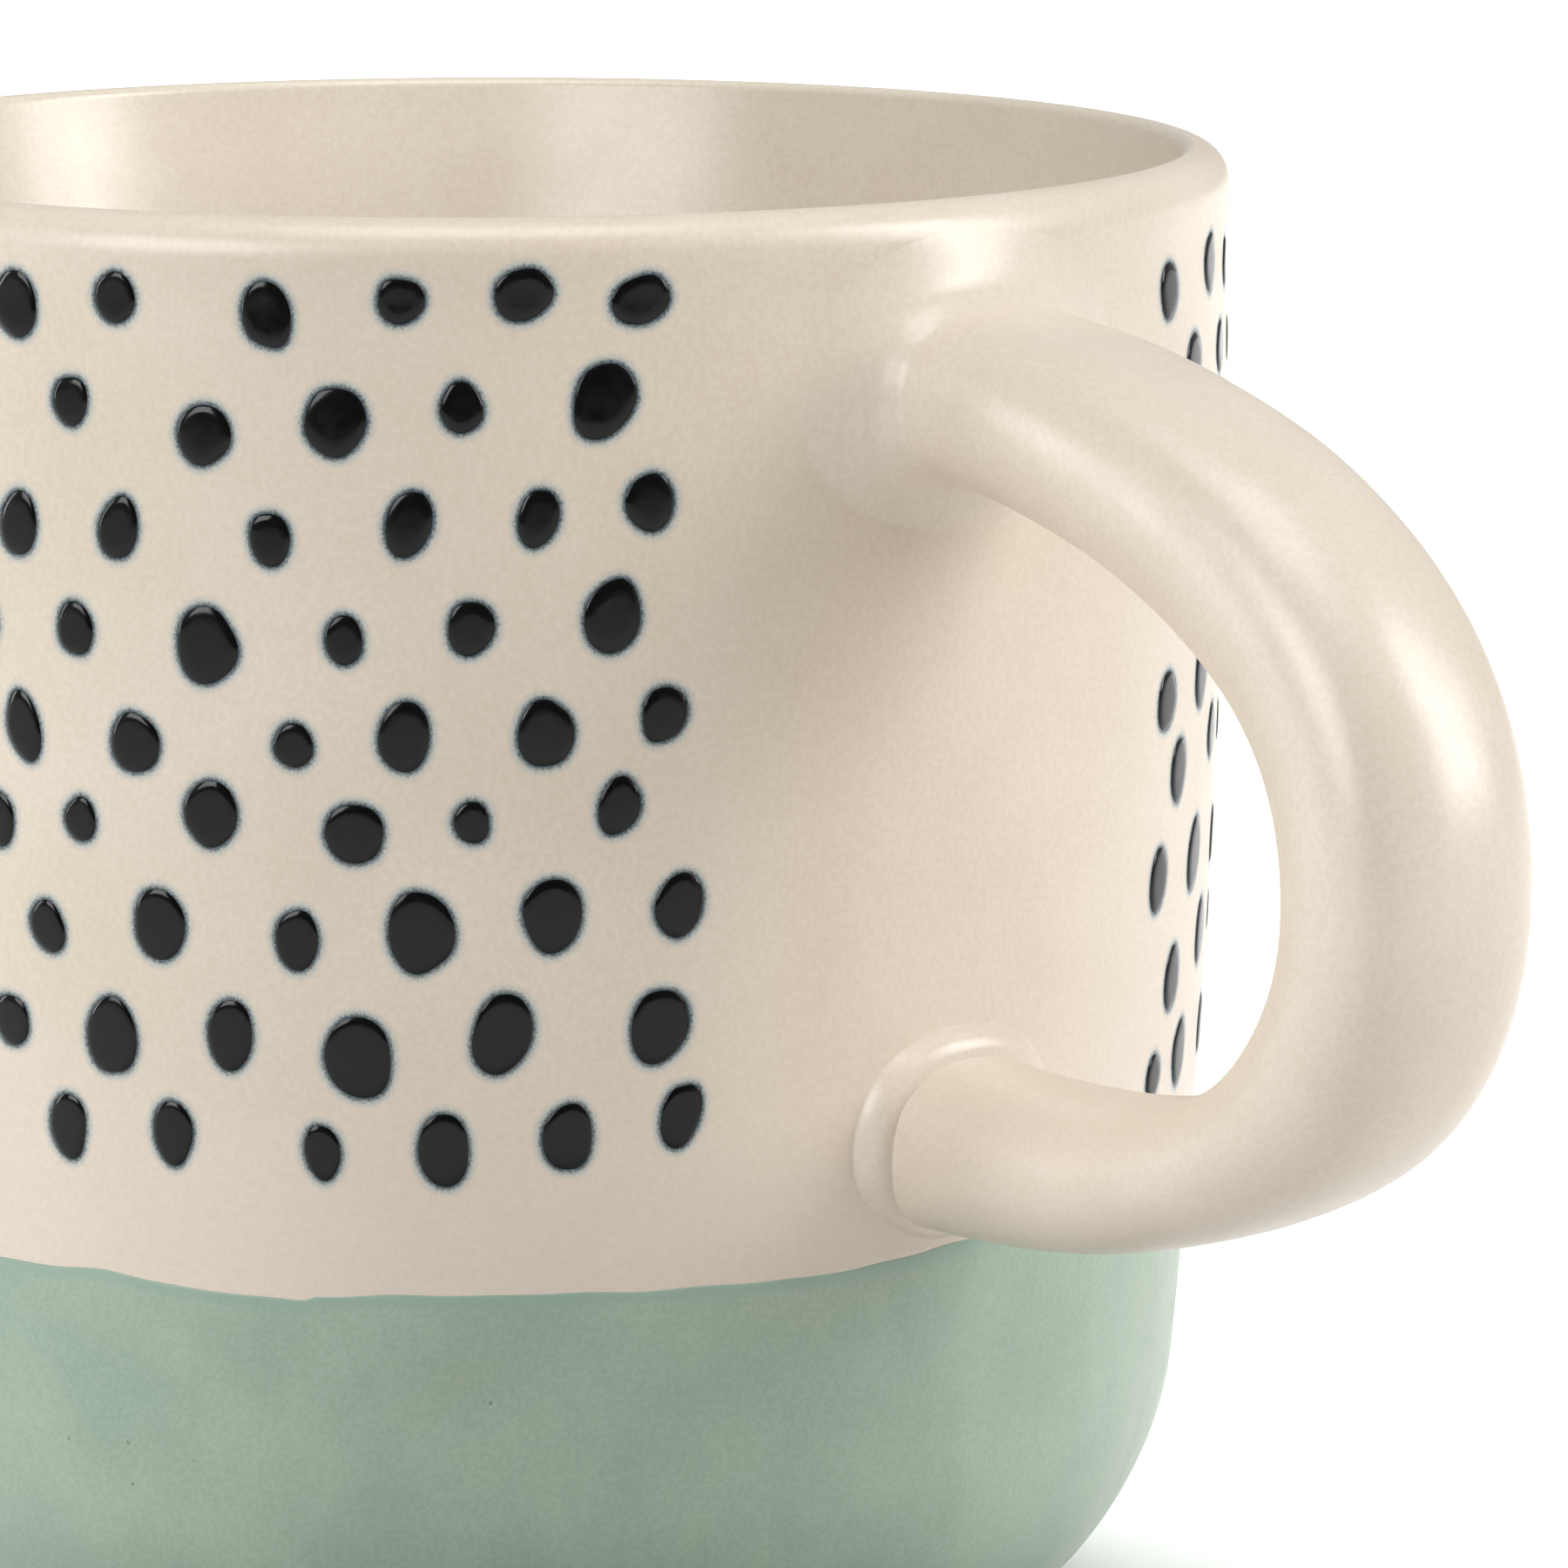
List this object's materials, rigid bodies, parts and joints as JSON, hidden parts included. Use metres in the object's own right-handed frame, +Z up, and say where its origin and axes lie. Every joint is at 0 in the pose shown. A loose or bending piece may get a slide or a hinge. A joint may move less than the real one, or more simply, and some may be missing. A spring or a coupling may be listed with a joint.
{
  "type": "stoneware mug",
  "caption": "Rounded stoneware mug with a looped handle, dipped in cream and green glaze and painted with raised black spots.",
  "frame": {"origin": "middle of the foot ring's underside, on the cup's axis", "axes": "+Z up along the cup's axis, +X from the axis through the middle of the handle"},
  "size_m": [0.1315, 0.0914, 0.092],
  "materials": {
    "bare_clay": "unglazed fired stoneware, matt",
    "liner_glaze": "satin cream glaze",
    "cream_glaze": "satin cream glaze with fine speckle",
    "green_glaze": "satin celadon green glaze",
    "black_glaze": "gloss black glaze"
  },
  "bodies": {
    "root": {"clay_body": "bare_clay", "clay_handle": "bare_clay", "upper_slip_joint": "bare_clay", "lower_slip_joint": "bare_clay", "liner_glaze": "liner_glaze", "cream_glaze": "cream_glaze", "handle_glaze": "cream_glaze", "green_glaze": "green_glaze", "spots_front": "black_glaze", "spots_back": "black_glaze"}
  },
  "joints": []
}
